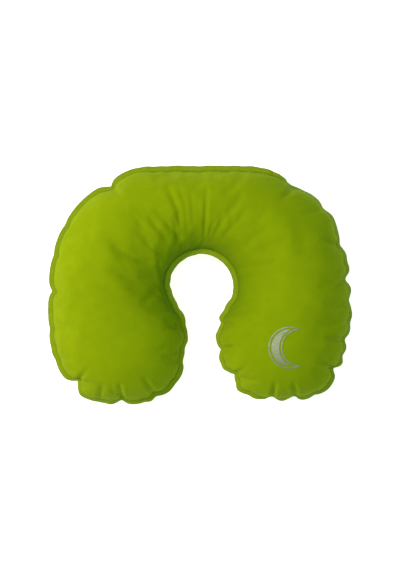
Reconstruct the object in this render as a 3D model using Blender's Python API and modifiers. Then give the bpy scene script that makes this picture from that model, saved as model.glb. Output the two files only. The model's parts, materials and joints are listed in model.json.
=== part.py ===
"""Inflatable U-shaped neck pillow: two fabric faces backed with airtight film, welded together in a flat
rim, with a two-stage air valve on the reverse of one arm.

Metres, +Z up. The pillow lies on its back face on the plane Z = 0, opening towards -Y, with the origin on
that plane under the middle of the outline.
"""

import math

import bmesh
import bpy
from mathutils import Matrix, Vector
from mathutils.geometry import interpolate_bezier

# Outline, measured to the outer edge of the welded rim.
WIDTH = 0.440
DEPTH = 0.344
WIDEST_Y = -0.036
NECK_RADIUS = 0.048
NECK_Y = -0.003
MOUTH_WIDTH = 0.045
MOUTH_Y = -0.076
ARM_TIP_X = 0.112
SHOULDER_SQUARENESS = 2.65
ARM_SQUARENESS = 2.3
NECK_ARC_END = math.radians(-50)
MOUTH_HANDLES = (0.009, 0.018)

# Section through the inflated body.
SEAM_HEIGHT = 0.051
CROWN_RISE = 0.055
BELLY_DROP = 0.054
TIP_ROUNDING = 0.075
SECTION_PAIRING = 0.35

# Layers.
RIM_WIDTH = 0.008
RIM_THICKNESS = 0.0014
FABRIC = 0.0008
FILM = 0.0004
GAP = 0.0003
FILM_CLEARANCE = 0.0006
RIM_LAP = FABRIC + FILM_CLEARANCE + FILM + 3 * GAP

# Mesh density: sections along one arm and facets across the body in the soft layers, the same two in the
# printed mark, and the straight runs that make up each part of the outline.
ALONG = 20
ACROSS = 10
MARK_ALONG = 20
MARK_ACROSS = 4
NECK_ARC_STEPS = 40
MOUTH_STEPS = 16
ARM_STEPS = 40
SHOULDER_STEPS = 60
SMOOTH_BELOW = math.radians(40)

# Air valve, in its own frame: local +Z points out of the pillow, local Z = 0 is the fabric's outer face.
VALVE_STATION = 0.60
VALVE_ANGLE = math.radians(58)
SOCKET_BORE = 0.0098
SOCKET_WALL = 0.0022
SOCKET_TOP = 0.0016
BASE_DEPTH = 0.0078
BASE_FLANGE_RADIUS = 0.0165
BASE_FLANGE_THICKNESS = 0.0012
PLUG_CLEARANCE = 0.0004
PLUG_RIM_THICKNESS = 0.0012
PLUG_DEPTH = 0.0056
MOUTH_BORE = 0.0045
WEB_THICKNESS = 0.0010
WEB_HOLE_RADIUS = 0.0011
WEB_HOLE_COUNT = 4
SEAL_RADIUS = 0.0007
SEAL_DEPTH = 0.0016
SEAL_CLEARANCE = 0.0001
STEM_RADIUS = 0.0007
STEM_CLEARANCE = 0.0002
BULB_RADIUS = 0.0014
FLAP_RADIUS = 0.0041
FLAP_THICKNESS = 0.0006
FLAP_EDGE = 0.00036
FLAP_TRAVEL = 0.0010
CAP_RADIUS = 0.0066
CAP_THICKNESS = 0.0010
CAP_SPIGOT_DEPTH = 0.0018
CAP_TAB_LENGTH = 0.0030
STRAP_WIDTH = 0.0050
HINGE_OFFSET = 0.0097
PLUG_TAB_LENGTH = 0.0040
PLUG_TAB_WIDTH = 0.0080
TAB_OVERLAP = 0.0020
TURNED_STEPS = 32
DRILLED_STEPS = 24
SEAL_STEPS = 10

# Printed crescent on the upper face of the right arm.
MARK_X = 0.126
MARK_Y = -0.088
MARK_RADIUS = 0.030
MARK_BITE_RADIUS = 0.025
MARK_BITE_SHIFT = 0.015
MARK_THICKNESS = 0.0002
MARK_CLEARANCE = 0.0005
MARK_HORN_TRIM = 0.10
MARK_BITE_TRIM = 0.14

LIME = (0.262, 0.392, 0.004, 1.0)
LIME_DARK = (0.150, 0.240, 0.004, 1.0)
FILM_COLOUR = (0.55, 0.62, 0.40, 1.0)
VALVE_GREY = (0.045, 0.047, 0.050, 1.0)
VALVE_DARK = (0.018, 0.018, 0.020, 1.0)
SILICONE = (0.62, 0.64, 0.62, 1.0)
SILVER_INK = (0.46, 0.47, 0.44, 1.0)


def clear_scene():
    for old in list(bpy.data.objects):
        bpy.data.objects.remove(old, do_unlink=True)


def new_collection(name, hidden=False):
    collection = bpy.data.collections.new(name)
    bpy.context.scene.collection.children.link(collection)
    collection.hide_render = hidden
    return collection


def new_material(name, colour, roughness, metallic=0.0):
    material = bpy.data.materials.new(name)
    material.use_nodes = True
    shader = material.node_tree.nodes["Principled BSDF"]
    shader.inputs["Base Color"].default_value = colour
    shader.inputs["Roughness"].default_value = roughness
    shader.inputs["Metallic"].default_value = metallic
    material.diffuse_color = colour
    return material


def new_object(name, bm, collection, material=None, parent=None):
    """A named object from a bmesh, smooth shaded with its hard edges kept."""
    mesh = bpy.data.meshes.new(name)
    bm.to_mesh(mesh)
    bm.free()
    mesh.shade_smooth()
    mesh.set_sharp_from_angle(angle=SMOOTH_BELOW)
    if material:
        mesh.materials.append(material)
    piece = bpy.data.objects.new(name, mesh)
    collection.objects.link(piece)
    piece.parent = parent
    return piece


def as_cutter(piece):
    piece.hide_render = True
    piece.display_type = "WIRE"
    return piece


def add_boolean(piece, other, operation):
    modifier = piece.modifiers.new(operation.title() + " " + other.name, "BOOLEAN")
    modifier.object = other
    modifier.operation = operation
    modifier.solver = "EXACT"


# ---------------------------------------------------------------- outline


def superellipse(angle, half_x, half_y, squareness):
    """A point of the first quadrant, from +Y at angle 0 to +X at a right angle."""
    power = 2.0 / squareness
    return half_x * math.sin(angle) ** power, half_y * math.cos(angle) ** power


def neck_side(inset):
    """The neck hole's edge and the arm's inner edge, from the back of the neck to the arm's tip."""
    points = []
    radius = NECK_RADIUS + inset
    for step in range(NECK_ARC_STEPS + 1):
        angle = math.pi / 2 + (NECK_ARC_END - math.pi / 2) * step / NECK_ARC_STEPS
        points.append(Vector((radius * math.cos(angle), NECK_Y + radius * math.sin(angle))))
    mouth = Vector((MOUTH_WIDTH / 2 + inset, MOUTH_Y))
    leaving = Vector((math.sin(NECK_ARC_END), -math.cos(NECK_ARC_END)))
    first, last = MOUTH_HANDLES
    bend = interpolate_bezier(
        points[-1], points[-1] + leaving * first, mouth + Vector((0, last)), mouth, MOUTH_STEPS
    )
    points += [Vector(point[:2]) for point in bend[1:]]
    reach = ARM_TIP_X - mouth.x
    fall = MOUTH_Y + DEPTH / 2 - inset
    for step in range(1, ARM_STEPS + 1):
        x, y = superellipse(math.pi / 2 * (1 - step / ARM_STEPS), reach, fall, ARM_SQUARENESS)
        points.append(Vector((ARM_TIP_X - x, MOUTH_Y - y)))
    return points


def outer_side(inset):
    """The outer edge, from the middle of the back to the same tip."""
    points = []
    half_x = WIDTH / 2 - inset
    half_y = DEPTH / 2 - WIDEST_Y - inset
    for step in range(SHOULDER_STEPS + 1):
        x, y = superellipse(math.pi / 2 * step / SHOULDER_STEPS, half_x, half_y, SHOULDER_SQUARENESS)
        points.append(Vector((x, WIDEST_Y + y)))
    reach = WIDTH / 2 - ARM_TIP_X - inset
    fall = WIDEST_Y + DEPTH / 2 - inset
    for step in range(1, ARM_STEPS + 1):
        x, y = superellipse(math.pi / 2 * (1 - step / ARM_STEPS), reach, fall, ARM_SQUARENESS)
        points.append(Vector((ARM_TIP_X + x, WIDEST_Y - y)))
    return points


def along(points, fraction):
    """The point this far along a run of points, as a fraction of its length."""
    lengths = [(b - a).length for a, b in zip(points, points[1:])]
    left = fraction * sum(lengths)
    for start, end, length in zip(points, points[1:], lengths):
        if left <= length:
            return start.lerp(end, left / length)
        left -= length
    return points[-1].copy()


def section_ends(inset, station):
    """Both ends of the section at this station, 0 at the middle of the back and 1 at the tip."""
    inner = station * (1 - SECTION_PAIRING) + SECTION_PAIRING * station**2
    outer = station * (1 + SECTION_PAIRING) - SECTION_PAIRING * station**2
    return along(neck_side(inset), inner), along(outer_side(inset), outer)


# ---------------------------------------------------------------- soft layers


def body_point(station, angle, rise):
    """A point of the fabric's outer face, from -90 degrees at the neck to +90 at the outer edge."""
    neck, outer = section_ends(RIM_WIDTH, station)
    middle = (neck + outer) / 2
    flat = middle + (outer - neck) / 2 * math.sin(angle)
    from_tip = min(1.0, max(0.0, (middle.y + DEPTH / 2 - RIM_WIDTH) / TIP_ROUNDING))
    swell = math.sqrt(1 - (1 - from_tip) ** 2)
    lift = RIM_THICKNESS / 2 + 2 * GAP
    side = math.copysign(1.0, rise)
    z = SEAM_HEIGHT + side * lift + rise * swell * max(0.0, math.cos(angle))
    return Vector((flat.x, flat.y, max(z, 0.0)))


def skin(name, collection, material, rise, depth, thickness):
    """One domed layer, this deep under the outer face: a half surface, mirrored and thickened inwards."""
    bm = bmesh.new()
    bmesh.ops.create_grid(bm, x_segments=ALONG, y_segments=ACROSS, size=1.0)
    for vertex in bm.verts:
        station = (vertex.co.x + 1) / 2
        vertex.co = body_point(station, vertex.co.y * math.pi / 2, rise)
    bmesh.ops.remove_doubles(bm, verts=bm.verts, dist=1e-5)
    for vertex in bm.verts:
        if abs(vertex.co.x) < 1e-5:
            vertex.co.x = 0.0
    bm.normal_update()
    if sum(face.normal.z * face.calc_area() for face in bm.faces) * rise < 0:
        bmesh.ops.reverse_faces(bm, faces=bm.faces)
    piece = new_object(name, bm, collection, material)
    mirror = piece.modifiers.new("Other arm", "MIRROR")
    mirror.merge_threshold = 0.0001
    if depth:
        inside = piece.modifiers.new("Inside the fabric", "DISPLACE")
        inside.direction = "NORMAL"
        inside.mid_level = 0.0
        inside.strength = -depth
    wall = piece.modifiers.new("Wall", "SOLIDIFY")
    wall.thickness = thickness
    wall.offset = -1.0
    wall.use_even_offset = False
    return piece


def closed_outline(inset, stations):
    """The whole outline as a ring of points: down the right arm, round both tips and back."""
    right = [section_ends(inset, station / stations)[1] for station in range(stations + 1)]
    right += [section_ends(inset, station / stations)[0] for station in range(stations - 1, 0, -1)]
    left = [Vector((-point.x, point.y)) for point in right[1:]]
    first_inner = Vector((0.0, NECK_Y + NECK_RADIUS + inset))
    return right + [first_inner] + left[::-1]


def weld_rim(name, collection, material):
    """The flat band in which the layers are fused, with a lap under the edge of each skin."""
    curve = bpy.data.curves.new(name, "CURVE")
    curve.dimensions = "2D"
    curve.fill_mode = "BOTH"
    curve.extrude = RIM_THICKNESS / 2
    for inset in (0.0, RIM_WIDTH + RIM_LAP):
        points = closed_outline(inset, 2 * ALONG)
        spline = curve.splines.new("POLY")
        spline.points.add(len(points) - 1)
        for target, point in zip(spline.points, points):
            target.co = (point.x, point.y, 0.0, 1.0)
        spline.use_cyclic_u = True
    curve.materials.append(material)
    rim = bpy.data.objects.new(name, curve)
    rim.location.z = SEAM_HEIGHT
    collection.objects.link(rim)
    return rim


def printed_crescent(name, collection, material, under):
    """A thin layer of ink that follows the face under it."""
    bm = bmesh.new()
    bmesh.ops.create_grid(bm, x_segments=MARK_ALONG, y_segments=MARK_ACROSS, size=1.0)
    shift = MARK_BITE_SHIFT
    horn = math.acos((MARK_RADIUS**2 + shift**2 - MARK_BITE_RADIUS**2) / (2 * MARK_RADIUS * shift))
    bite_horn = math.atan2(MARK_RADIUS * math.sin(horn), MARK_RADIUS * math.cos(horn) - shift)
    outer_start = horn + MARK_HORN_TRIM
    inner_start = bite_horn + MARK_BITE_TRIM
    for vertex in bm.verts:
        along_arc = (vertex.co.x + 1) / 2
        across = (vertex.co.y + 1) / 2
        outer = outer_start + 2 * (math.pi - outer_start) * along_arc
        inner = inner_start + 2 * (math.pi - inner_start) * along_arc
        outside = Vector((math.cos(outer), math.sin(outer), 0)) * MARK_RADIUS
        inside = Vector((math.cos(inner), math.sin(inner), 0)) * MARK_BITE_RADIUS
        inside.x += shift
        vertex.co = inside.lerp(outside, across)
        vertex.co += Vector((MARK_X, MARK_Y, SEAM_HEIGHT + 2 * CROWN_RISE))
    bm.normal_update()
    if bm.faces[:][0].normal.z < 0:
        bmesh.ops.reverse_faces(bm, faces=bm.faces)
    mark = new_object(name, bm, collection, material)
    drape = mark.modifiers.new("Follow the face", "SHRINKWRAP")
    drape.target = under
    drape.wrap_method = "PROJECT"
    drape.use_project_z = True
    drape.use_positive_direction = False
    drape.use_negative_direction = True
    drape.offset = MARK_CLEARANCE
    ink = mark.modifiers.new("Ink", "SOLIDIFY")
    ink.thickness = MARK_THICKNESS
    ink.offset = 1.0
    return mark


# ---------------------------------------------------------------- valve


def valve_frame():
    """Where the valve's axis leaves the lower face of the left arm, with local X along the arm."""
    step = 0.01

    def place(station, angle):
        point = body_point(station, angle, -BELLY_DROP)
        return Vector((-point.x, point.y, point.z))

    centre = place(VALVE_STATION, VALVE_ANGLE)
    down_arm = place(VALVE_STATION + step, VALVE_ANGLE) - place(VALVE_STATION - step, VALVE_ANGLE)
    round_body = place(VALVE_STATION, VALVE_ANGLE + step) - place(VALVE_STATION, VALVE_ANGLE - step)
    outward = down_arm.cross(round_body).normalized()
    if outward.z > 0:
        outward.negate()
    back = -(down_arm - outward * down_arm.dot(outward)).normalized()
    across = outward.cross(back)
    return Matrix.Translation(centre) @ Matrix((back, across, outward)).transposed().to_4x4()


def turned(name, profile, collection, material, parent):
    """A turned piece from (radius, height) points that run down its outer side."""
    bm = bmesh.new()
    corners = [bm.verts.new((radius, 0.0, height)) for radius, height in profile]
    for start, end in zip(corners, corners[1:]):
        bm.edges.new((start, end))
    piece = new_object(name, bm, collection, material, parent)
    lathe = piece.modifiers.new("Turn", "SCREW")
    lathe.axis = "Z"
    lathe.steps = TURNED_STEPS
    lathe.render_steps = TURNED_STEPS
    lathe.use_merge_vertices = True
    lathe.merge_threshold = 0.00001
    return piece


def turned_ring(name, profile, collection, material, parent):
    """A turned piece with a hole: its profile closes on itself."""
    return turned(name, profile + profile[:1], collection, material, parent)


def block(name, low, high, collection, material=None, parent=None):
    bm = bmesh.new()
    bmesh.ops.create_cube(bm, size=1.0)
    size = Vector(high) - Vector(low)
    middle = (Vector(high) + Vector(low)) / 2
    bmesh.ops.scale(bm, verts=bm.verts, vec=size)
    bmesh.ops.translate(bm, verts=bm.verts, vec=middle)
    return new_object(name, bm, collection, material, parent)


def drill(name, radius, low, high, x, y, collection, parent):
    bm = bmesh.new()
    bmesh.ops.create_cone(
        bm,
        cap_ends=True,
        segments=DRILLED_STEPS,
        radius1=radius,
        radius2=radius,
        depth=high - low,
        matrix=Matrix.Translation((x, y, (high + low) / 2)),
    )
    return as_cutter(new_object(name, bm, collection, parent=parent))


def make_valve(parts, cutters, moulded, dark, silicone):
    """The valve's five pieces, on an empty that stands on the valve's axis. Returns that empty."""
    axis = bpy.data.objects.new("valve_axis", None)
    axis.matrix_world = valve_frame()
    parts.objects.link(axis)

    socket_radius = SOCKET_BORE + SOCKET_WALL
    turned_ring(
        "valve_base",
        [
            (SOCKET_BORE, SOCKET_TOP),
            (socket_radius, SOCKET_TOP),
            (socket_radius, -BASE_DEPTH + BASE_FLANGE_THICKNESS),
            (BASE_FLANGE_RADIUS, -BASE_DEPTH + BASE_FLANGE_THICKNESS),
            (BASE_FLANGE_RADIUS, -BASE_DEPTH),
            (SOCKET_BORE, -BASE_DEPTH),
        ],
        parts,
        moulded,
        axis,
    )

    plug_radius = SOCKET_BORE - PLUG_CLEARANCE
    rim_low = SOCKET_TOP + GAP
    rim_top = rim_low + PLUG_RIM_THICKNESS
    groove_top = SOCKET_TOP - SEAL_DEPTH + SEAL_RADIUS + SEAL_CLEARANCE
    groove_low = groove_top - 2 * (SEAL_RADIUS + SEAL_CLEARANCE)
    groove_floor = SOCKET_BORE - 2 * SEAL_RADIUS - 2 * SEAL_CLEARANCE
    web_low = -PLUG_DEPTH + FLAP_THICKNESS + GAP
    stem_hole = STEM_RADIUS + STEM_CLEARANCE
    plug = turned_ring(
        "deflate_plug",
        [
            (MOUTH_BORE, rim_top),
            (socket_radius, rim_top),
            (socket_radius, rim_low),
            (plug_radius, rim_low),
            (plug_radius, groove_top),
            (groove_floor, groove_top),
            (groove_floor, groove_low),
            (plug_radius, groove_low),
            (plug_radius, -PLUG_DEPTH),
            (FLAP_RADIUS + 2 * GAP, -PLUG_DEPTH),
            (FLAP_RADIUS + 2 * GAP, web_low),
            (stem_hole, web_low),
            (stem_hole, web_low + WEB_THICKNESS),
            (MOUTH_BORE, web_low + WEB_THICKNESS),
        ],
        parts,
        moulded,
        axis,
    )
    middle_of_web = (stem_hole + FLAP_RADIUS) / 2
    for index in range(WEB_HOLE_COUNT):
        angle = 2 * math.pi * (index + 0.5) / WEB_HOLE_COUNT
        hole = drill(
            f"web_hole_{index}",
            WEB_HOLE_RADIUS,
            web_low - WEB_THICKNESS,
            web_low + 2 * WEB_THICKNESS,
            middle_of_web * math.cos(angle),
            middle_of_web * math.sin(angle),
            cutters,
            axis,
        )
        add_boolean(plug, hole, "DIFFERENCE")
    strap_low = rim_top + GAP
    strap_top = strap_low + CAP_THICKNESS
    hinge_swing = math.hypot(GAP, CAP_THICKNESS / 2) + GAP
    lug = block(
        "strap_lug",
        (HINGE_OFFSET + hinge_swing, -STRAP_WIDTH / 2, rim_top - PLUG_RIM_THICKNESS / 2),
        (socket_radius, STRAP_WIDTH / 2, strap_top),
        cutters,
        parent=axis,
    )
    pull_tab = block(
        "plug_pull_tab",
        (-PLUG_TAB_WIDTH / 2, socket_radius - TAB_OVERLAP, rim_low),
        (PLUG_TAB_WIDTH / 2, socket_radius + PLUG_TAB_LENGTH, rim_top - GAP),
        cutters,
        parent=axis,
    )
    for added in (lug, pull_tab):
        add_boolean(plug, as_cutter(added), "UNION")

    seal_centre = SOCKET_BORE - SEAL_RADIUS - SEAL_CLEARANCE
    seal_profile = []
    for step in range(SEAL_STEPS):
        angle = -2 * math.pi * step / SEAL_STEPS
        height = SOCKET_TOP - SEAL_DEPTH + SEAL_RADIUS * math.sin(angle)
        seal_profile.append((seal_centre + SEAL_RADIUS * math.cos(angle), height))
    turned_ring("plug_seal_ring", seal_profile, parts, silicone, axis)

    flap_top = web_low - GAP / 2
    stem_end = web_low + WEB_THICKNESS + FLAP_TRAVEL + GAP
    bulb_shoulder = BULB_RADIUS * math.cos(math.pi / 4)
    turned(
        "inflate_flap",
        [
            (0.0, stem_end + BULB_RADIUS),
            (bulb_shoulder, stem_end + bulb_shoulder),
            (BULB_RADIUS, stem_end),
            (STEM_RADIUS, stem_end),
            (STEM_RADIUS, flap_top),
            (FLAP_RADIUS, flap_top),
            (FLAP_RADIUS, flap_top - FLAP_EDGE),
            (STEM_RADIUS, flap_top - FLAP_THICKNESS),
            (0.0, flap_top - FLAP_THICKNESS),
        ],
        parts,
        silicone,
        axis,
    )

    hinge = bpy.data.objects.new("cap_hinge", None)
    hinge.parent = axis
    hinge.location = (HINGE_OFFSET, 0.0, (strap_low + strap_top) / 2)
    parts.objects.link(hinge)
    spigot_low = strap_low - GAP - CAP_SPIGOT_DEPTH
    spigot_top_radius = MOUTH_BORE - GAP
    cap = turned(
        "valve_cap",
        [
            (0.0, strap_top),
            (CAP_RADIUS - GAP, strap_top),
            (CAP_RADIUS, strap_top - GAP),
            (CAP_RADIUS, strap_low),
            (spigot_top_radius, strap_low),
            (spigot_top_radius - GAP, spigot_low),
            (0.0, spigot_low),
        ],
        parts,
        dark,
        hinge,
    )
    cap.matrix_parent_inverse = Matrix.Translation(-hinge.location)
    strap = block(
        "cap_strap",
        (CAP_RADIUS - TAB_OVERLAP, -STRAP_WIDTH / 2, strap_low),
        (HINGE_OFFSET - GAP, STRAP_WIDTH / 2, strap_top - GAP),
        cutters,
        parent=axis,
    )
    finger_tab = block(
        "cap_finger_tab",
        (-CAP_RADIUS - CAP_TAB_LENGTH, -STRAP_WIDTH / 2, strap_low),
        (-CAP_RADIUS + TAB_OVERLAP, STRAP_WIDTH / 2, strap_top - GAP),
        cutters,
        parent=axis,
    )
    for added in (strap, finger_tab):
        add_boolean(cap, as_cutter(added), "UNION")
    return axis


def main():
    clear_scene()
    parts = new_collection("Neck pillow")
    cutters = new_collection("Cutters", hidden=True)

    fabric = new_material("Brushed lime fabric", LIME, 0.85)
    welded = new_material("Welded rim", LIME_DARK, 0.6)
    film = new_material("Airtight film", FILM_COLOUR, 0.35)
    moulded = new_material("Moulded valve", VALVE_GREY, 0.45)
    dark = new_material("Valve cap", VALVE_DARK, 0.4)
    silicone = new_material("Soft silicone", SILICONE, 0.4)
    ink = new_material("Silver ink", SILVER_INK, 0.5)

    under = FABRIC + FILM_CLEARANCE
    upper = skin("upper_face_panel", parts, fabric, CROWN_RISE, 0.0, FABRIC)
    lower = skin("lower_face_panel", parts, fabric, -BELLY_DROP, 0.0, FABRIC)
    skin("upper_air_film", parts, film, CROWN_RISE, under, FILM)
    lower_film = skin("lower_air_film", parts, film, -BELLY_DROP, under, FILM)
    weld_rim("weld_seam", parts, welded)
    printed_crescent("printed_mark", parts, ink, upper)

    axis = make_valve(parts, cutters, moulded, dark, silicone)
    valve_hole = drill(
        "valve_hole",
        SOCKET_BORE + SOCKET_WALL + 2 * GAP,
        -BASE_DEPTH,
        BASE_DEPTH,
        0.0,
        0.0,
        cutters,
        axis,
    )
    add_boolean(lower, valve_hole, "DIFFERENCE")
    add_boolean(lower_film, valve_hole, "DIFFERENCE")


main()
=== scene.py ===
import json
import math

import bmesh
import bpy
import numpy as np
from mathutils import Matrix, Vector
from mathutils.bvhtree import BVHTree
from mathutils.geometry import interpolate_bezier
from mathutils.kdtree import KDTree


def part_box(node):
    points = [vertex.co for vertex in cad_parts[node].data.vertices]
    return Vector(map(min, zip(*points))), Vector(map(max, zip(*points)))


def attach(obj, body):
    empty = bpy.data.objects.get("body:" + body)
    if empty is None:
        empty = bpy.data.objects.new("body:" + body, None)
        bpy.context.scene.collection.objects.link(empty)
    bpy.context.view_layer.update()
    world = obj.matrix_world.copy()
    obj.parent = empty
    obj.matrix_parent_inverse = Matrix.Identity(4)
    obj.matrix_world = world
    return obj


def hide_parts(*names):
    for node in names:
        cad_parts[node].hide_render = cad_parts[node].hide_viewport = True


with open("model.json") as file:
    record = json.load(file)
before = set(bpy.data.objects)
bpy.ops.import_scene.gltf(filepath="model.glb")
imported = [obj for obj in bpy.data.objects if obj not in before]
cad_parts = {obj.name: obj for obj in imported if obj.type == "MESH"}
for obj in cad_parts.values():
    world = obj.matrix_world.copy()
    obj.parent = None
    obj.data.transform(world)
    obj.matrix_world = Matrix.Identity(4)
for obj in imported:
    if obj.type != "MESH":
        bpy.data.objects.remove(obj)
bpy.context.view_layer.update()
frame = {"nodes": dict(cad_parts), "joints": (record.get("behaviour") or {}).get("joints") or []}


# ---- Studio: camera, table and light --------------------------------------------------------------------
# The pillow lies on a white table and is seen from straight above, with the back of the neck at the top.
# A warm light stands low on the left, a wide pale one hangs overhead, and a cool white sky fills the rest.

seam_low, seam_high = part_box("weld_seam")
seam_z = (seam_low.z + seam_high.z) / 2

camera_height = 1.95
view_width = 0.5782
camera_data = bpy.data.cameras.new("studio_camera")
camera_data.sensor_width = 36.0
camera_data.sensor_fit = "HORIZONTAL"
camera_data.lens = camera_data.sensor_width * (camera_height - seam_z) / view_width
camera = bpy.data.objects.new("studio_camera", camera_data)
camera.location = (0.0, 0.0, camera_height)
bpy.context.scene.collection.objects.link(camera)
bpy.context.scene.camera = camera
bpy.context.scene.view_settings.view_transform = "Standard"

table_bm = bmesh.new()
bmesh.ops.create_grid(table_bm, x_segments=1, y_segments=1, size=40.0)
table_mesh = bpy.data.meshes.new("table")
table_bm.to_mesh(table_mesh)
table_bm.free()
table = bpy.data.objects.new("table", table_mesh)
table.location.z = -0.0006
bpy.context.scene.collection.objects.link(table)

table_white = bpy.data.materials.new("white_table")
table_white.use_nodes = True
white = table_white.node_tree.nodes["Principled BSDF"]
white.inputs["Base Color"].default_value = (0.93, 0.93, 0.93, 1.0)
white.inputs["Roughness"].default_value = 0.9
white.inputs["Emission Color"].default_value = (1.0, 1.0, 1.0, 1.0)
white.inputs["Emission Strength"].default_value = 0.72
table_mesh.materials.append(table_white)

sky = bpy.data.worlds.new("soft_white")
sky.use_nodes = True
sky.node_tree.nodes["Background"].inputs["Color"].default_value = (0.72, 1.0, 0.93, 1.0)
sky.node_tree.nodes["Background"].inputs["Strength"].default_value = 0.26
bpy.context.scene.world = sky


def soft_light(name, place, size, power, colour):
    light_data = bpy.data.lights.new(name, "AREA")
    light_data.shape = "DISK"
    light_data.size = size
    light_data.energy = power
    light_data.color = colour
    light = bpy.data.objects.new(name, light_data)
    light.location = place
    light.rotation_euler = (Vector((0, 0, 0.05)) - Vector(place)).to_track_quat("-Z", "Y").to_euler()
    bpy.context.scene.collection.objects.link(light)


soft_light("window_left", (-1.15, 0.30, 1.05), 0.6, 16.0, (1.0, 0.78, 0.48))
soft_light("ceiling", (-0.15, 0.1, 2.4), 1.2, 20.0, (0.86, 1.0, 0.80))


# ---- Inflated body ---------------------------------------------------------------------------------------
# Two U-shaped blanks of coated knit, welded all round and blown up. The air takes up the slack of the flat
# blank as puckers: the weld is drawn in at each one, and folds fan out from the tight inner curve.

panel_low, panel_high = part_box("upper_face_panel")
rim_width = panel_low.x - seam_low.x
half_width = (seam_high.x - seam_low.x) / 2
half_depth = (seam_high.y - seam_low.y) / 2
neck_radius = 0.048
neck_y = -0.003
mouth_half = 0.0225
mouth_y = -0.076
arm_tip_x = 0.112
widest_y = -0.036

# Where the weld is drawn in, in millimetres: X, Y and how deep.
rim_puckers = [
    (-130, 145, 4), (-190, 85, 1.5), (-204, 42, 1.5), (-211, -9, 5), (-215, -65, 3), (-201, -105, 2),
    (-178, -140, 7), (-146, -166, 5), (-113, -167, 9), (-66, -156, 7), (-42, -138, 2), (-25, -113, 4),
    (-23, -88, 2), (-23, -59, 4), (32, -56, 4), (26, -94, 7), (34, -112, 2.5), (46, -132, 6),
    (70, -158, 2), (103, -165, 8), (139, -165, 8), (162, -150, 2), (192, -121, 10), (203, -102, 3),
    (206, -78, 9), (212, -52, 3), (217, -22, 7), (209, 9, 9), (207, 34, 3), (198, 57, 10),
    (172, 108, 3), (136, 141, 6), (0, 166, 0.6), (-50, 168, 0.6),
]
pucker_points = [(Vector((x, y, 0)) / 1000, deep / 1000) for x, y, deep in rim_puckers]
pucker_spread = 0.0065
pucker_gather = 1.15

# Places round the rim, in millimetres: X, Y, how many degrees it leans down from flat, and how much
# fuller than the even outline it is.
rim_shape = [
    (-12, 170, 0, 0.5), (-40, 171, 0, 1.5), (-60, 170, 0, 2.5), (-80, 170, 0, 5), (-97, 168, 0, 6),
    (-113, 161, 0, 4.5), (-123, 154, 0, 2), (-133, 146, 0, -3),
    (-150, 134, 0, 0), (-174, 114, 0, 0), (-196, 70, 0, 0), (-211, 20, 0, 0), (-216, -43, 6, 0),
    (-212, -80, 8, 1.5), (-205, -105, 8, 3), (-196, -128, 8, 3), (-178, -140, 20, 0), (-164, -156, 45, 5),
    (-150, -163, 48, 5), (-130, -168, 50, 2), (-89, -168, 40, 2), (-68, -157, 15, 6), (-45, -143, 8, 7),
    (-36, -125, 15, 7), (-26, -97, 32, 2), (-24, -74, 50, 5), (-27, -50, 18, 4), (-33, -39, 8, 5),
    (-44, -27, 3, 8), (-49, -14, 0, 7), (-50, 3, 0, 4.5), (-44, 20, 0, 3), (-30, 38, 0, 2.5),
    (-15, 46, 0, 1.5), (5, 49, 0, 0), (36, 34, 0, 0), (52, 7, 5, 0), (48, -15, 10, 0), (40, -28, 15, 3),
    (33, -39, 25, 0), (27, -62, 40, -3), (26, -77, 45, 0), (28, -97, 45, -1), (31, -115, 45, -1),
    (40, -131, 35, -6), (48, -143, 30, -7), (58, -152, 28, -1), (83, -163, 42, -3), (121, -166, 56, -4),
    (158, -160, 48, 1.5), (176, -150, 35, 5), (190, -137, 30, 5), (199, -120, 40, 2), (205, -93, 48, 0),
    (218, -46, 52, 1), (217, -5, 52, 0), (210, 32, 45, 1), (198, 70, 50, 0), (183, 100, 58, 2),
    (171, 114, 62, 1.5), (145, 137, 60, 0), (130, 148, 58, -1), (120, 156, 40, 2.5), (112, 161, 25, 4.5),
    (96, 168, 8, 6), (78, 170, 3, 5), (58, 170, 0, 2.5), (30, 171, 0, 1),
]
shape_points = [(Vector((x, y, 0)) / 1000, math.radians(lean), full / 1000) for x, y, lean, full in rim_shape]


def inner_weld(inset):
    """Round the neck hole and down the inside of an arm, to its tip."""
    radius = neck_radius + inset
    leaving = math.radians(-50)
    points = []
    for step in range(41):
        angle = math.pi / 2 + (leaving - math.pi / 2) * step / 40
        points.append(Vector((radius * math.cos(angle), neck_y + radius * math.sin(angle), 0)))
    mouth = Vector((mouth_half + inset, mouth_y, 0))
    first = points[-1] + 0.009 * Vector((math.sin(leaving), -math.cos(leaving), 0))
    points += interpolate_bezier(points[-1], first, mouth + Vector((0, 0.018, 0)), mouth, 16)[1:]
    for step in range(1, 41):
        angle = math.pi / 2 * step / 40
        across = (arm_tip_x - mouth.x) * max(0.0, math.cos(angle)) ** (2 / 2.3)
        down = (mouth_y + half_depth - inset) * math.sin(angle) ** (2 / 2.3)
        points.append(Vector((arm_tip_x - across, mouth_y - down, 0)))
    return points


def outer_weld(inset):
    """From the middle of the back round the shoulder to the same tip."""
    points = []
    for step in range(61):
        angle = math.pi / 2 * step / 60
        across = (half_width - inset) * math.sin(angle) ** (2 / 2.65)
        up = (half_depth - widest_y - inset) * max(0.0, math.cos(angle)) ** (2 / 2.65)
        points.append(Vector((across, widest_y + up, 0)))
    for step in range(1, 41):
        angle = math.pi / 2 * step / 40
        across = (half_width - arm_tip_x - inset) * max(0.0, math.cos(angle)) ** (2 / 2.3)
        down = (widest_y + half_depth - inset) * math.sin(angle) ** (2 / 2.3)
        points.append(Vector((arm_tip_x + across, widest_y - down, 0)))
    return points


def run_along(points, fraction):
    lengths = [(b - a).length for a, b in zip(points, points[1:])]
    left = fraction * sum(lengths)
    for start, end, length in zip(points, points[1:], lengths):
        if left <= length:
            return start.lerp(end, left / length)
        left -= length
    return points[-1].copy()


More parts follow.
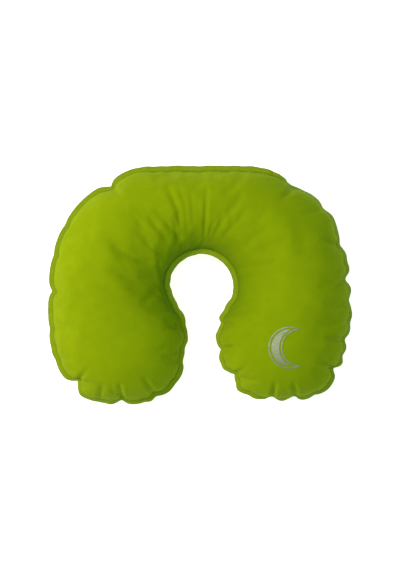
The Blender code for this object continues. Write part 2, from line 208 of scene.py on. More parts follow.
def with_inward(points, fraction, side, turn):
    """A place on the weld line and the level direction from there into the body."""
    place = run_along(points, fraction)
    run = run_along(points, min(1.0, fraction + 0.004)) - run_along(points, max(0.0, fraction - 0.004))
    inward = Vector((-run.y * turn * side, run.x * turn, 0)).normalized()
    return Vector((place.x * side, place.y, 0)), inward


def shape_at(point):
    """The rim's lean and its fullness at any place near it."""
    shares = [(1 / ((point - place).length_squared + 1e-5) ** 2, lean, full)
              for place, lean, full in shape_points]
    total = sum(share for share, lean, full in shares)
    return (sum(share * lean for share, lean, full in shares) / total,
            sum(share * full for share, lean, full in shares) / total)


def drawn_in(point):
    """How far the weld lies inside the even outline: the puckers, less the fullness and the lean."""
    pucker = max(deep * math.exp(-(point - place).length / pucker_spread) for place, deep in pucker_points)
    lean, full = shape_at(point)
    return pucker * pucker_gather - full - rim_width * (1 - math.cos(lean))


inner_points = inner_weld(rim_width)
outer_points = outer_weld(rim_width)
sections_each_arm = 104
facets_across = 44
pairing = 0.35
blank_stretch = 1.25
room_to_swell = 0.0045
dome_rise = panel_high.z - seam_z - room_to_swell
tip_rounding = 0.075
least_at_tip = 0.004
tip_tuck = 0.030

body_bm = bmesh.new()
bmesh.ops.create_grid(body_bm, x_segments=2 * sections_each_arm, y_segments=facets_across, size=1.0)
blank = body_bm.verts.layers.float_vector.new("blank")
section_ends = {}
for vertex in body_bm.verts:
    station = abs(vertex.co.x)
    side = 1.0 if vertex.co.x >= 0 else -1.0
    across = vertex.co.y
    key = round(vertex.co.x, 5)
    if key not in section_ends:
        neck, neck_in = with_inward(inner_points, station * (1 - pairing) + pairing * station**2, side, 1)
        edge, edge_in = with_inward(outer_points, station * (1 + pairing) - pairing * station**2, side, -1)
        if station > 0.9999:
            edge, edge_in = neck, neck_in
        section_ends[key] = (neck, edge, neck_in * drawn_in(neck), edge_in * drawn_in(edge))
    neck, edge, neck_move, edge_move = section_ends[key]
    middle = (neck + edge) / 2
    place = middle + (edge - neck) / 2 * math.sin(across * math.pi / 2)
    from_tip = min(1.0, max(least_at_tip, (middle.y + half_depth - rim_width) / tip_rounding))
    rise = dome_rise * math.sqrt(1 - (1 - from_tip) ** 2) * max(0.0, math.cos(across * math.pi / 2))
    tuck = max(0.0, 1 - (edge - neck).length / tip_tuck)
    near_weld = tuck + (1 - tuck) * abs(math.sin(across * math.pi / 2)) ** 3
    place += (edge_move if across > 0 else neck_move) * near_weld
    vertex[blank] = middle + (edge - neck) / 2 * across * blank_stretch
    vertex.co = Vector((place.x, place.y, rise))
bmesh.ops.remove_doubles(body_bm, verts=body_bm.verts, dist=1e-6)
copied = bmesh.ops.duplicate(body_bm, geom=body_bm.verts[:] + body_bm.edges[:] + body_bm.faces[:])
reverse_verts = [item for item in copied["geom"] if isinstance(item, bmesh.types.BMVert)]
reverse_faces = [item for item in copied["geom"] if isinstance(item, bmesh.types.BMFace)]
bmesh.ops.scale(body_bm, verts=reverse_verts, vec=(1, 1, -1))
for face in reverse_faces:
    face.material_index = 1
bmesh.ops.remove_doubles(body_bm, verts=body_bm.verts, dist=1e-5)
bmesh.ops.recalc_face_normals(body_bm, faces=body_bm.faces)
bmesh.ops.translate(body_bm, verts=body_bm.verts, vec=(0, 0, seam_z))
welded = [v.index for v in body_bm.verts if abs(v.co.z - seam_z) < 1e-7]
body_mesh = bpy.data.meshes.new("inflated_body")
body_bm.to_mesh(body_mesh)
body_bm.free()
body_mesh.materials.append(bpy.data.materials.new("upper_side"))
body_mesh.materials.append(bpy.data.materials.new("lower_side"))
body = bpy.data.objects.new("inflated_body", body_mesh)
bpy.context.scene.collection.objects.link(body)

weld_group = body.vertex_groups.new(name="weld")
weld_group.add(welded, 1.0, "REPLACE")
# Most of the slack lies round the neck hole, and half as much along the mouth.
slack_group = body.vertex_groups.new(name="slack")
slack_near = 0.055
slack_fade = 0.060
mouth_begins_y = -0.05
for vertex in body_mesh.vertices:
    from_neck = math.hypot(vertex.co.x, vertex.co.y - neck_y)
    slack = min(1.0, max(0.0, 1 - (from_neck - slack_near) / slack_fade))
    slack_group.add([vertex.index], slack if vertex.co.y > mouth_begins_y else slack * 0.5, "REPLACE")

inflation_steps = 30
cloth = body.modifiers.new("Air pressure", "CLOTH")
cloth.settings.quality = 6
cloth.settings.mass = 0.15
cloth.settings.tension_stiffness = 40
cloth.settings.compression_stiffness = 40
cloth.settings.shear_stiffness = 15
cloth.settings.bending_stiffness = 0.8
cloth.settings.tension_damping = 10
cloth.settings.compression_damping = 10
cloth.settings.shear_damping = 10
cloth.settings.bending_damping = 1
cloth.settings.air_damping = 3
cloth.settings.use_pressure = True
cloth.settings.uniform_pressure_force = 4.0
cloth.settings.vertex_group_mass = "weld"
cloth.settings.pin_stiffness = 5
cloth.settings.vertex_group_shrink = "slack"
cloth.settings.shrink_min = -0.02
cloth.settings.shrink_max = -0.05
cloth.settings.effector_weights.gravity = 0
cloth.collision_settings.use_collision = False
cloth.collision_settings.use_self_collision = False
cloth.point_cache.frame_start = 1
cloth.point_cache.frame_end = inflation_steps
finer = body.modifiers.new("Finer", "SUBSURF")
finer.levels = 1
finer.render_levels = 1
for step in range(1, inflation_steps + 1):
    bpy.context.scene.frame_set(step)
blown_up = bpy.data.meshes.new_from_object(body.evaluated_get(bpy.context.evaluated_depsgraph_get()))
bpy.context.scene.frame_set(1)
bpy.data.objects.remove(body)

# Folds that the slack fabric keeps under pressure, in millimetres: three points, half width and depth.
neck_folds = [
    ((-45, 137), (-30, 105), (-27, 66), 4.4, 2.9), ((-29, 135), (-21, 110), (-18, 70), 3.2, 1.5),
    ((10, 137), (8, 101), (6, 62), 2.7, 1.9), ((35, 98), (24, 76), (17, 62), 4.0, 1.1),
    ((65, 104), (49, 85), (30, 63), 4.6, 1.2), ((93, 79), (71, 63), (54, 44), 5.5, 1.0),
    ((105, 32), (83, 26), (57, 24), 4.5, 1.2), ((-61, 101), (-39, 79), (-26, 58), 5.5, 3.0),
    ((-70, 95), (-56, 79), (-44, 64), 3.5, 1.3), ((-83, 110), (-64, 85), (-46, 60), 5.0, 1.2),
    ((-89, 78), (-67, 60), (-48, 44), 5.5, 1.7), ((-130, 67), (-105, 45), (-64, 27), 8.5, 4.2),
    ((-117, 20), (-89, 7), (-57, 7), 10.0, 3.6), ((-77, -24), (-68, -15), (-56, -6), 4.5, 1.3),
    ((83, -40), (76, -32), (66, -22), 5.0, 1.0), ((50, -133), (62, -135), (80, -135), 3.2, 2.2),
    ((-24, -91), (-34, -97), (-50, -103), 3.2, 2.2), ((-26, -62), (-34, -57), (-46, -51), 4.0, 1.4),
    ((140, 89), (146, 60), (146, 40), 11.0, 1.2), ((-38, 93), (-34, 80), (-31, 64), 2.3, 1.2),
    ((-12, 130), (-11, 110), (-9, 86), 2.6, 0.8), ((21, 92), (15, 78), (11, 62), 2.3, 1.0),
    ((-95, 100), (-79, 80), (-62, 64), 3.2, 0.9), ((-77, 60), (-66, 50), (-52, 41), 3.0, 1.1),
    ((-84, 34), (-68, 31), (-55, 27), 3.4, 1.2), ((118, 64), (98, 52), (78, 42), 5.0, 0.8),
    ((72, 10), (64, 8), (55, 8), 3.2, 0.8), ((-98, -5), (-80, -8), (-62, -10), 4.2, 1.1),
]
reverse_spacing = 1.06
least_pucker = 0.0025
pucker_fold_run = (0.0, 0.012, 0.026)
pucker_fold_half_width = 0.0032
pucker_fold_share = 0.40
arm_middle = (0.115, -0.07)
back_middle_y = 0.085
back_begins_y = 0.05
fold_sharpness = 1.55
shoulder_share = 0.22


def fold_lines(turned_over):
    """The folds of one face. The reverse has its own, the same ones turned over and spaced wider."""
    lines = []
    for *points, wide, deep in neck_folds:
        turn = -reverse_spacing if turned_over else 1.0
        lines.append(([np.array((x * turn, y)) / 1000 for x, y in points], wide / 1000, deep / 1000))
    for place, deep in pucker_points:
        if deep < least_pucker:
            continue
        towards = Vector((math.copysign(arm_middle[0], place.x), arm_middle[1], 0))
        if place.y > back_begins_y:
            towards = Vector((place.x * 0.55, back_middle_y, 0))
        inward = (towards - place).normalized()
        bend = [np.array((place + inward * far).xy) for far in pucker_fold_run]
        lines.append((bend, pucker_fold_half_width, deep * pucker_fold_share))
    return lines


def fold_moves(points, lines):
    """How far each point sinks into the folds, or rises between them."""
    moves = np.zeros(len(points))
    for bend, wide, deep in lines:
        far = np.full(len(points), 1.0)
        share = np.zeros(len(points))
        for part, (start, end) in enumerate(zip(bend, bend[1:])):
            run = end - start
            along = np.clip((points - start) @ run / (run @ run), 0, 1)
            apart = np.linalg.norm(points - start - along[:, None] * run, axis=1)
            share = np.where(apart < far, (part + along) / 2, share)
            far = np.minimum(far, apart)
        fade = np.sin(np.pi * np.minimum(1.0, 0.12 + 0.80 * share)) ** 0.7
        valley = np.exp(-((far / wide) ** fold_sharpness))
        shoulder = shoulder_share * np.exp(-(((far - 2.0 * wide) / wide) ** 2))
        moves -= deep * fade * (valley - shoulder)
    return moves


blown_bm = bmesh.new()
blown_bm.from_mesh(blown_up)
blown_bm.normal_update()
places = np.array([v.co for v in blown_bm.verts])
still_by_weld = 0.010
off_weld = np.minimum(1.0, np.abs(places[:, 2] - seam_z) / still_by_weld)

# The neck weld is far shorter than the cloth around it, so it draws the fabric down in a long slope.
neck_draw = 0.0028
neck_draw_reach = 0.020
from_neck = np.hypot(places[:, 0], places[:, 1] - neck_y) - neck_radius - rim_width
slope = np.maximum(0.0, from_neck / neck_draw_reach)
neck_sink = neck_draw * slope * np.exp(1 - slope) * np.clip((places[:, 1] + 0.075) / 0.05, 0, 1)
upper_moves = fold_moves(places[:, :2], fold_lines(False)) * off_weld
lower_moves = fold_moves(places[:, :2], fold_lines(True)) * off_weld
sink = np.where(places[:, 2] >= seam_z, upper_moves, lower_moves) - neck_sink * off_weld

# The underside settles on the table, with a soft edge to the flattened patch.
table_gap = 0.0008
settle_below = 0.006
settle_softness = 0.0012
for vertex, move in zip(blown_bm.verts, sink):
    vertex.co += vertex.normal * float(move)
    if vertex.co.z < settle_below:
        settled = vertex.co.z - table_gap
        vertex.co.z = table_gap + (settled + math.sqrt(settled**2 + settle_softness**2)) / 2
blown_bm.normal_update()
blown_bm.verts.layers.float.new("painted_neck_shade")
blown_bm.verts.layers.float.new("valve_reach")
painted_neck_shade = blown_bm.verts.layers.float["painted_neck_shade"]
valve_reach = blown_bm.verts.layers.float["valve_reach"]
# Painted shade: the knit's colour is darkened and made greener towards the neck hole, fading out towards the
# arm tips.
neck_shade_reach = 0.017
neck_shade_ends_y = -0.12
neck_shade_fade = 0.08
for vertex, gap in zip(blown_bm.verts, from_neck):
    vertex[valve_reach] = 1.0
    above_tips = min(1.0, max(0.0, (vertex.co.y - neck_shade_ends_y) / neck_shade_fade))
    vertex[painted_neck_shade] = math.exp(-max(0.0, gap) / neck_shade_reach) * above_tips

# The weld line, walked once round and turned so that it runs against the clock.
weld_edges = [e for e in blown_bm.edges if len({f.material_index for f in e.link_faces}) == 2]
weld_set = set(weld_edges)
weld_loop = [weld_edges[0].verts[0], weld_edges[0].verts[1]]
while weld_loop[-1] is not weld_loop[0]:
    here, before = weld_loop[-1], weld_loop[-2]
    onward = [e.other_vert(here) for e in here.link_edges if e in weld_set]
    weld_loop.append(next(v for v in onward if v is not before))
weld_line = np.array([v.co for v in weld_loop])
turning = weld_line[:-1, 0] * weld_line[1:, 1] - weld_line[1:, 0] * weld_line[:-1, 1]
if turning.sum() < 0:
    weld_line = weld_line[::-1]


# ---- Face panels and air films ---------------------------------------------------------------------------
# Each side is a brushed knit panel with a milky airtight film behind it. The knit is dyed lime; its pile
# catches the light, and the welding tools leave it a little flatter near the rim. Painted shade darkens the
# knit towards the neck hole.

def new_material(name, roughness):
    """A material with its main shader, ready for nodes."""
    material = bpy.data.materials.new(name)
    material.use_nodes = True
    shader = material.node_tree.nodes["Principled BSDF"]
    shader.inputs["Roughness"].default_value = roughness
    return material, material.node_tree, shader


def add_node(tree, kind, values=None, **settings):
    node = tree.nodes.new(kind)
    for name, value in settings.items():
        setattr(node, name, value)
    for name, value in (values or {}).items():
        if isinstance(value, bpy.types.NodeSocket):
            tree.links.new(value, node.inputs[name])
        else:
            node.inputs[name].default_value = value
    return node


def noise(tree, vector, scale, detail=2.0, roughness=0.5):
    values = {"Vector": vector, "Scale": scale, "Detail": detail, "Roughness": roughness}
    return add_node(tree, "ShaderNodeTexNoise", values).outputs["Fac"]


def ramp(tree, factor, stops):
    """A colour ramp from (position, colour) stops."""
    node = add_node(tree, "ShaderNodeValToRGB", {"Fac": factor})
    elements = node.color_ramp.elements
    while len(elements) < len(stops):
        elements.new(0.5)
    for element, (position, colour) in zip(elements, stops):
        element.position = position
        element.color = (*colour, 1.0) if len(colour) == 3 else colour
    return node.outputs["Color"]


def blend_colours(tree, factor, first, second, how="MIX"):
    node = add_node(tree, "ShaderNodeMix", data_type="RGBA", blend_type=how)
    for index, value in ((0, factor), (6, first), (7, second)):
        if isinstance(value, bpy.types.NodeSocket):
            tree.links.new(value, node.inputs[index])
        else:
            node.inputs[index].default_value = value
    return node.outputs[2]


def combine(tree, how, first, second):
    node = add_node(tree, "ShaderNodeMath", operation=how)
    for index, value in enumerate((first, second)):
        if isinstance(value, bpy.types.NodeSocket):
            tree.links.new(value, node.inputs[index])
        else:
            node.inputs[index].default_value = value
    return node.outputs[0]


def bump(tree, shader, height, strength, distance):
    node = add_node(tree, "ShaderNodeBump", {"Height": height, "Strength": strength, "Distance": distance})
    tree.links.new(node.outputs["Normal"], shader.inputs["Normal"])


knit, tree, shader = new_material("brushed_lime_knit", 0.86)
shader.inputs["Specular IOR Level"].default_value = 0.06
shader.inputs["Sheen Weight"].default_value = 0.08
shader.inputs["Sheen Roughness"].default_value = 0.5
shader.inputs["Sheen Tint"].default_value = (0.55, 0.75, 0.02, 1.0)
cut_place = add_node(tree, "ShaderNodeAttribute", attribute_name="blank").outputs["Vector"]
fibres = noise(tree, cut_place, 1900.0, 3.0, 0.65)
pile = noise(tree, cut_place, 420.0, 2.0, 0.5)
nap = noise(tree, cut_place, 60.0, 3.0, 0.55)
dye = noise(tree, cut_place, 11.0, 2.0, 0.5)
wales = add_node(
    tree, "ShaderNodeTexWave",
    {"Vector": cut_place, "Scale": 262.0, "Distortion": 1.2, "Detail": 1.0, "Detail Scale": 1.5},
    bands_direction="X",
).outputs["Fac"]
courses = add_node(
    tree, "ShaderNodeTexWave",
    {"Vector": cut_place, "Scale": 349.0, "Distortion": 1.0, "Detail": 1.0, "Detail Scale": 1.5},
    bands_direction="Y",
).outputs["Fac"]
stitches = combine(tree, "MULTIPLY", wales, courses)
lime = ramp(tree, dye, [(0.30, (0.242, 0.350, 0.0010)), (0.72, (0.272, 0.384, 0.0014))])
napped = ramp(tree, nap, [(0.32, (0.95, 0.96, 0.95)), (0.68, (1.04, 1.03, 1.0))])
fuzzed = ramp(tree, fibres, [(0.30, (0.86, 0.88, 0.86)), (0.70, (1.10, 1.08, 1.0))])
lime = blend_colours(tree, 1.0, lime, napped, "MULTIPLY")
lime = blend_colours(tree, 1.0, lime, fuzzed, "MULTIPLY")
# Painted shade near the neck hole: the colour is darkened and made greener there.
neck_shade_mask = add_node(tree, "ShaderNodeAttribute", attribute_name="painted_neck_shade").outputs["Fac"]
neck_shade_tint = ramp(tree, neck_shade_mask, [(0.0, (1, 1, 1)), (1.0, (0.62, 0.74, 0.55))])
lime = blend_colours(tree, 1.0, lime, neck_shade_tint, "MULTIPLY")
from_valve = add_node(tree, "ShaderNodeAttribute", attribute_name="valve_reach").outputs["Fac"]
valve_weld = ramp(
    tree, from_valve,
    [(0.36, (0.70, 0.76, 0.70)), (0.40, (0.86, 0.89, 0.86)), (0.48, (0.86, 0.89, 0.86)),
     (0.50, (0.66, 0.72, 0.66)), (0.53, (1, 1, 1))],
)
lime = blend_colours(tree, 1.0, lime, valve_weld, "MULTIPLY")
tree.links.new(lime, shader.inputs["Base Color"])
height = combine(tree, "ADD", combine(tree, "MULTIPLY", fibres, 0.55), combine(tree, "MULTIPLY", pile, 0.5))
height = combine(tree, "ADD", height, combine(tree, "MULTIPLY", stitches, 0.35))
bump(tree, shader, height, 0.45, 0.00035)

milky, tree, shader = new_material("milky_film", 0.42)
shader.inputs["Specular IOR Level"].default_value = 0.5
own_place = add_node(tree, "ShaderNodeTexCoord").outputs["Object"]
haze = ramp(tree, noise(tree, own_place, 45.0, 3.0), [(0.3, (0.50, 0.58, 0.36)), (0.7, (0.60, 0.66, 0.44))])
tree.links.new(haze, shader.inputs["Base Color"])
bump(tree, shader, noise(tree, own_place, 380.0, 2.0), 0.2, 0.0002)

socket_proud = 0.0016
plug_joint = next(j for j in frame["joints"] if j["name"] == "plug_pull")
valve_out = Vector(plug_joint["axis"]).normalized()
socket_top = max(v.co.dot(valve_out) for v in frame["nodes"]["valve_base"].data.vertices)
seal_points = [v.co for v in frame["nodes"]["plug_seal_ring"].data.vertices]
seal_middle = sum(seal_points, Vector()) / len(seal_points)
valve_centre = seal_middle + valve_out * (socket_top - socket_proud - seal_middle.dot(valve_out))
fabric_hole = 0.01245
hole_depth = 0.02
valve_flat = 0.0175
valve_blend = 0.034
knit_thickness = 0.0008
weld_parting = 0.00035
film_gap = 0.00135
film_thickness = 0.0004
film_margin = 0.005
film_foot = 0.009
outside = BVHTree.FromBMesh(blown_bm)
weld_tree = KDTree(len(weld_line))
for index, place in enumerate(weld_line):
    weld_tree.insert((place[0], place[1], 0), index)
weld_tree.balance()


def from_valve(point):
    """How far a point stands out from the valve's plane, and how far it is from the valve's axis."""
    offset = point - valve_centre
    off_plane = offset.dot(valve_out)
    return off_plane, (offset - valve_out * off_plane).length


def at_weld(face):
    """Whether a film face lies where the two sides run together, and the film is fused into the weld."""
    centre = face.calc_center_median()
    level_gap = weld_tree.find((centre.x, centre.y, 0))[2]
    return abs(centre.z - seam_z) < film_foot and level_gap < film_margin


def in_valve_hole(face):
    off_plane, radius = from_valve(face.calc_center_median())
    return radius < fabric_hole and abs(off_plane) < hole_depth


def make_side(name, side, film, material):
    """One side of the body: the outer knit, or the film that lies just inside it."""
    side_bm = blown_bm.copy()
    side_reach = side_bm.verts.layers.float["valve_reach"]
    others = [f for f in side_bm.faces if f.material_index != side]
    bmesh.ops.delete(side_bm, geom=others, context="FACES")
    side_bm.normal_update()
    towards = 1.0 if side == 0 else -1.0
    for vertex in side_bm.verts:
        if vertex.is_boundary:
            vertex.co.z += towards * weld_parting
    if side == 1:
        for vertex in side_bm.verts:
            off_plane, radius = from_valve(vertex.co)
            share = min(1.0, max(0.0, (valve_blend - radius) / (valve_blend - valve_flat)))
            if abs(off_plane) < valve_blend:
                vertex[side_reach] = min(1.0, radius / valve_blend)
            vertex.co -= valve_out * off_plane * share * share * (3 - 2 * share)
        side_bm.normal_update()
    if film:
        for vertex in side_bm.verts:
            vertex.co -= vertex.normal * film_gap
            for _ in range(2):
                nearest, facing, _, _ = outside.find_nearest(vertex.co)
                if (vertex.co - nearest).dot(facing) > -film_gap * 0.85:
                    vertex.co = nearest - facing * film_gap
        bmesh.ops.delete(side_bm, geom=[f for f in side_bm.faces if at_weld(f)], context="FACES")
    if side == 1:
        bmesh.ops.delete(side_bm, geom=[f for f in side_bm.faces if in_valve_hole(f)], context="FACES")
        for vertex in side_bm.verts:
            off_plane, radius = from_valve(vertex.co)
            if vertex.is_boundary and radius < valve_flat:
                on_axis = valve_centre + valve_out * off_plane
                vertex.co = on_axis + (vertex.co - on_axis).normalized() * fabric_hole
        side_bm.normal_update()
    for face in side_bm.faces:
        face.material_index = 0
        face.smooth = True
    side_mesh = bpy.data.meshes.new(name)
    side_bm.to_mesh(side_mesh)
    side_bm.free()
    side_mesh.materials.append(material)
    piece = bpy.data.objects.new(name, side_mesh)
    bpy.context.scene.collection.objects.link(piece)
    wall = piece.modifiers.new("Wall", "SOLIDIFY")
    wall.thickness = film_thickness if film else knit_thickness
    wall.offset = -1.0
    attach(piece, "pillow")
    return piece


upper_knit = make_side("upper_face", 0, False, knit)
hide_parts("upper_face_panel")
lower_knit = make_side("lower_face", 1, False, knit)
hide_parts("lower_face_panel")
upper_film = make_side("upper_film", 0, True, milky)
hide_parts("upper_air_film")
lower_film = make_side("lower_film", 1, True, milky)
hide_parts("lower_air_film")


# ---- Welded rim ------------------------------------------------------------------------------------------
# Outside the weld all the layers are fused into one flat band. The heated bar presses the pile flat and
# leaves two fine lines. Painted shade darkens the band where it meets the face, and the cut edge is darker
# from the fused film and from painted shade. Air drags the band into lobes.

rim_step = 0.0012
heading_reach = 0.015
lengths = np.concatenate([[0.0], np.cumsum(np.linalg.norm(np.diff(weld_line, axis=0), axis=1))])
rim_stations = int(lengths[-1] / rim_step)
stops = np.arange(rim_stations) * lengths[-1] / rim_stations
rim_line = np.stack([np.interp(stops, lengths, weld_line[:, axis]) for axis in range(3)], axis=1)
smooth_line = rim_line.copy()
spread = int(heading_reach / rim_step)
for _ in range(2):
    padded_line = np.concatenate([smooth_line[-spread:], smooth_line, smooth_line[:spread]])
    sums = np.cumsum(np.concatenate([np.zeros((1, 3)), padded_line]), axis=0)
    smooth_line = (sums[2 * spread + 1:] - sums[:-2 * spread - 1]) / (2 * spread + 1)
rim_heading = np.roll(smooth_line, -1, axis=0) - np.roll(smooth_line, 1, axis=0)

# Half of the band's section, in millimetres: how far out from the weld, and how high above its middle.
band_width = 8.0
rim_profile = [(-1.6, 0.6), (-0.6, 0.6), (0.2, 0.6)]
rim_profile += [(0.9 + 0.85 * step, 0.6) for step in range(8)]
rim_profile += [(7.5, 0.58), (7.85, 0.42), (8.0, 0.0)]
rim_profile = [(reach / band_width, rise / 1000) for reach, rise in rim_profile]
rim_profile += [(reach, -rise) for reach, rise in reversed(rim_profile[:-1])]

pinch_spread = 0.0035
full_pinch = 0.006
pinch_tuck = 0.0026
pinch_narrowing = 0.30
pinch_lift = 0.0022
flat_ripple = 0.00022
leaning_ripple = 0.0005

rim_bm = bmesh.new()
bmesh.ops.create_grid(rim_bm, x_segments=rim_stations, y_segments=len(rim_profile), size=1.0)
band_place = rim_bm.verts.layers.float_vector.new("band")
rim_facts = []
for index in range(rim_stations):
    here = Vector(rim_line[index])
    heading = Vector(rim_heading[index]).normalized()
    outward = Vector((heading.y, -heading.x, 0))
    edge = here + outward * rim_width
    flat_edge = Vector((edge.x, edge.y, 0))
    lean, full = shape_at(flat_edge)
    nearest = min(((flat_edge - place).length, deep) for place, deep in pucker_points)
    pinch = math.exp(-nearest[0] / pinch_spread) * min(1.0, nearest[1] / full_pinch)
    run = index * rim_step
    ripple = math.sin(run * 171 + 0.7) + 0.6 * math.sin(run * 283 + 1.9)
    ripple *= flat_ripple + leaning_ripple * min(1.0, lean)
    here = here - outward * pinch_tuck * pinch
    rim_facts.append((here, outward, lean, 1 - pinch_narrowing * pinch, ripple + pinch_lift * pinch))
for vertex in rim_bm.verts:
    index = round((vertex.co.x + 1) / 2 * rim_stations) % rim_stations
    row = round((vertex.co.y + 1) / 2 * len(rim_profile)) % len(rim_profile)
    here, outward, lean, reach_share, lift = rim_facts[index]
    reach, rise = rim_profile[row]
    along = outward * math.cos(lean) - Vector((0, 0, math.sin(lean)))
    above = outward * math.sin(lean) + Vector((0, 0, math.cos(lean)))
    out = reach * rim_width * (reach_share if reach > 0 else 1.0)
    vertex.co = here + along * out + above * (rise + lift * max(0.0, reach) ** 1.5)
    vertex[band_place] = (reach, rise * 1000, index * rim_step)
bmesh.ops.remove_doubles(rim_bm, verts=rim_bm.verts, dist=1e-6)
bmesh.ops.recalc_face_normals(rim_bm, faces=rim_bm.faces)
for face in rim_bm.faces:
    face.smooth = True
rim_mesh = bpy.data.meshes.new("welded_rim")
rim_bm.to_mesh(rim_mesh)
rim_bm.free()

pressed, tree, shader = new_material("pressed_rim", 0.62)
shader.inputs["Specular IOR Level"].default_value = 0.12
band = add_node(tree, "ShaderNodeAttribute", attribute_name="band").outputs["Vector"]
across_band = add_node(tree, "ShaderNodeSeparateXYZ", {"Vector": band}).outputs["X"]
own_place = add_node(tree, "ShaderNodeTexCoord").outputs["Object"]
mottle = ramp(
    tree, noise(tree, own_place, 130.0, 3.0),
    [(0.3, (0.225, 0.325, 0.0012)), (0.7, (0.255, 0.365, 0.0016))],
)
flattened = ramp(
    tree, noise(tree, own_place, 1500.0, 2.0),
    [(0.3, (0.90, 0.90, 0.90)), (0.7, (1.08, 1.06, 1.0))],
)
tint = blend_colours(tree, 1.0, mottle, flattened, "MULTIPLY")
# Painted shade: a dark line where the band meets the face. Two fine pressed lines. The cut edge is darker
# from the fused film and from painted shade.
lines = ramp(
    tree, across_band,
    [(0.0, (0.50, 0.56, 0.50)), (0.09, (0.92, 0.94, 0.92)), (0.14, (0.86, 0.88, 0.86)), (0.19, (1, 1, 1)),
     (0.80, (1, 1, 1)), (0.84, (0.86, 0.88, 0.86)), (0.88, (1, 1, 1)), (0.96, (0.60, 0.64, 0.56))],
)
tree.links.new(blend_colours(tree, 1.0, tint, lines, "MULTIPLY"), shader.inputs["Base Color"])
grooves = ramp(
    tree, across_band,
    [(0.10, (1, 1, 1)), (0.14, (0, 0, 0)), (0.18, (1, 1, 1)), (0.79, (1, 1, 1)), (0.83, (0, 0, 0)),
     (0.87, (1, 1, 1))],
)
grain = combine(tree, "MULTIPLY", noise(tree, own_place, 900.0, 3.0), 0.35)
bump(tree, shader, combine(tree, "ADD", grooves, grain), 0.5, 0.00022)

rim_mesh.materials.append(pressed)
rim = bpy.data.objects.new("welded_rim", rim_mesh)
bpy.context.scene.collection.objects.link(rim)
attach(rim, "pillow")
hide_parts("weld_seam")


# ---- Printed mark ----------------------------------------------------------------------------------------
# A plain crescent printed on one arm in thin silver-grey transfer ink: an outline and a solid crescent
# inside it. The ink sits in the pile and has begun to crack, so specks of lime show through.

mark_low, mark_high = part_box("printed_mark")
mark_radius = (mark_high.y - mark_low.y) / 2
mark_centre = Vector((mark_low.x + mark_radius, (mark_low.y + mark_high.y) / 2, 0))
bite_radius = mark_radius * 25 / 30
bite_shift = mark_radius * 15 / 30
outline_width = 0.0022
outline_gap = 0.0020
ink_lift = 0.00012
ink_thickness = 0.00012


def crescent_arcs(inset):
    """The crescent's outer and inner arcs, from the upper horn to the lower one, as radius and end angles."""
    big, small = mark_radius - inset, bite_radius + inset
    meet = (bite_shift**2 + big**2 - small**2) / (2 * bite_shift)
    horn = math.sqrt(max(0.0, big**2 - meet**2))
    outer_start = math.atan2(horn, meet)
    inner_start = math.atan2(horn, meet - bite_shift)
    return (big, outer_start, 2 * math.pi - outer_start), (small, inner_start, 2 * math.pi - inner_start)


def crescent_point(inset, run, side):
    """A place on the crescent, at a share of the way round and a share of the way from outer to inner arc."""
    (big, big_from, big_to), (small, small_from, small_to) = crescent_arcs(inset)
    outer_angle = big_from + (big_to - big_from) * run
    inner_angle = small_from + (small_to - small_from) * run
    outer_point = Vector((math.cos(outer_angle), math.sin(outer_angle), 0)) * big
    inner_point = Vector((math.cos(inner_angle), math.sin(inner_angle), 0)) * small
    inner_point.x += bite_shift
    return mark_centre + outer_point.lerp(inner_point, side)


surface_bm = bmesh.new()
surface_bm.from_mesh(upper_knit.data)
surface = BVHTree.FromBMesh(surface_bm)
surface_bm.free()
mark_bm = bmesh.new()
solid_inset = outline_width + outline_gap
horn_trim = 0.02
steps_round = 150
solid = bmesh.ops.create_grid(mark_bm, x_segments=steps_round, y_segments=14, size=1.0)
for vertex in solid["verts"]:
    run = (vertex.co.x + 1) / 2
    vertex.co = crescent_point(solid_inset, horn_trim + (1 - 2 * horn_trim) * run, (vertex.co.y + 1) / 2)
for side in (0, 1):
    outline = bmesh.ops.create_grid(mark_bm, x_segments=steps_round, y_segments=3, size=1.0)
    for vertex in outline["verts"]:
        run, inset = (vertex.co.x + 1) / 2, outline_width * (vertex.co.y + 1) / 2
        vertex.co = crescent_point(inset, run, side)
bmesh.ops.remove_doubles(mark_bm, verts=mark_bm.verts, dist=0.0001)
bmesh.ops.recalc_face_normals(mark_bm, faces=mark_bm.faces)
if sum(face.normal.z for face in mark_bm.faces) < 0:
    bmesh.ops.reverse_faces(mark_bm, faces=mark_bm.faces)
for vertex in mark_bm.verts:
    landing, facing, _, _ = surface.ray_cast(Vector((vertex.co.x, vertex.co.y, 0.3)), Vector((0, 0, -1)))
    vertex.co = landing + facing * ink_lift
for face in mark_bm.faces:
    face.smooth = True
mark_mesh = bpy.data.meshes.new("printed_crescent")
mark_bm.to_mesh(mark_mesh)
mark_bm.free()

ink, tree, shader = new_material("silver_ink", 0.48)
shader.inputs["Metallic"].default_value = 0.25
shader.inputs["Specular IOR Level"].default_value = 0.4
own_place = add_node(tree, "ShaderNodeTexCoord").outputs["Object"]
cracked = ramp(tree, noise(tree, own_place, 640.0, 3.0, 0.6), [(0.38, (0, 0, 0)), (0.47, (1, 1, 1))])
silver = ramp(
    tree, noise(tree, own_place, 90.0, 2.0), [(0.3, (0.29, 0.31, 0.24)), (0.7, (0.39, 0.41, 0.33))]
)
tree.links.new(blend_colours(tree, cracked, (0.22, 0.31, 0.03, 1), silver), shader.inputs["Base Color"])
bump(tree, shader, noise(tree, own_place, 1500.0, 2.0), 0.4, 0.00015)
mark_mesh.materials.append(ink)
mark = bpy.data.objects.new("printed_crescent", mark_mesh)
bpy.context.scene.collection.objects.link(mark)
ink_wall = mark.modifiers.new("Ink", "SOLIDIFY")
ink_wall.thickness = ink_thickness
ink_wall.offset = 1.0
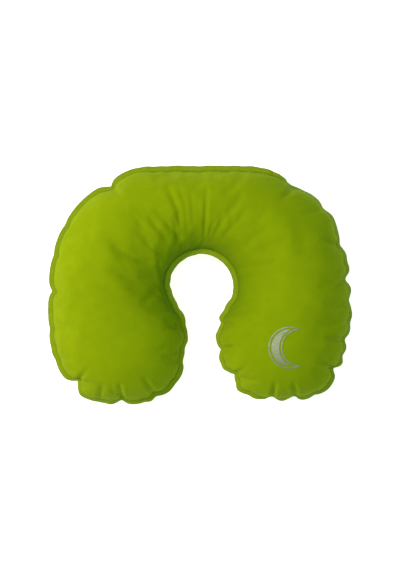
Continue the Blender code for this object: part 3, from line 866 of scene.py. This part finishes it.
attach(mark, "pillow")
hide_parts("printed_mark")


# ---- Valve -----------------------------------------------------------------------------------------------
# A dark moulded base welded into the reverse, a wide deflation plug with its seal ring and one-way flap,
# and a snap cap on a strap. The shapes are the moulded parts themselves; the tools leave a fine spark grain.

def moulded(name, deep, pale, roughness, grain_scale, grain_depth):
    """A moulded finish: two shades that flow into each other, fine specks, uneven polish and spark grain."""
    material, tree, shader = new_material(name, roughness)
    own_place = add_node(tree, "ShaderNodeTexCoord").outputs["Object"]
    flow = ramp(tree, noise(tree, own_place, 95.0, 2.0), [(0.3, deep), (0.7, pale)])
    fine = noise(tree, own_place, 2600.0, 2.0)
    specks = ramp(tree, fine, [(0.35, (0.9, 0.9, 0.9)), (0.65, (1.1, 1.1, 1.1))])
    tree.links.new(blend_colours(tree, 1.0, flow, specks, "MULTIPLY"), shader.inputs["Base Color"])
    worn = noise(tree, own_place, 210.0, 3.0)
    worn = combine(tree, "ADD", combine(tree, "MULTIPLY", worn, 0.22), roughness - 0.11)
    tree.links.new(worn, shader.inputs["Roughness"])
    bump(tree, shader, noise(tree, own_place, grain_scale, 2.0), 0.35, grain_depth)
    return material


graphite = moulded("graphite_moulding", (0.036, 0.038, 0.041), (0.052, 0.054, 0.058), 0.50, 2200.0, 0.00008)
cap_black = moulded("cap_moulding", (0.014, 0.014, 0.016), (0.024, 0.024, 0.027), 0.62, 1700.0, 0.00010)
silicone = moulded("milky_silicone", (0.56, 0.58, 0.56), (0.66, 0.68, 0.66), 0.40, 900.0, 0.00006)
silicone.node_tree.nodes["Principled BSDF"].inputs["Subsurface Weight"].default_value = 0.15
silicone.node_tree.nodes["Principled BSDF"].inputs["Subsurface Radius"].default_value = (0.002, 0.002, 0.002)
finishes = {
    "valve_base": graphite, "deflate_plug": graphite, "valve_cap": cap_black,
    "plug_seal_ring": silicone, "inflate_flap": silicone,
}
for node, finish in finishes.items():
    for material_slot in frame["nodes"][node].material_slots:
        material_slot.material = finish

bpy.context.view_layer.update()
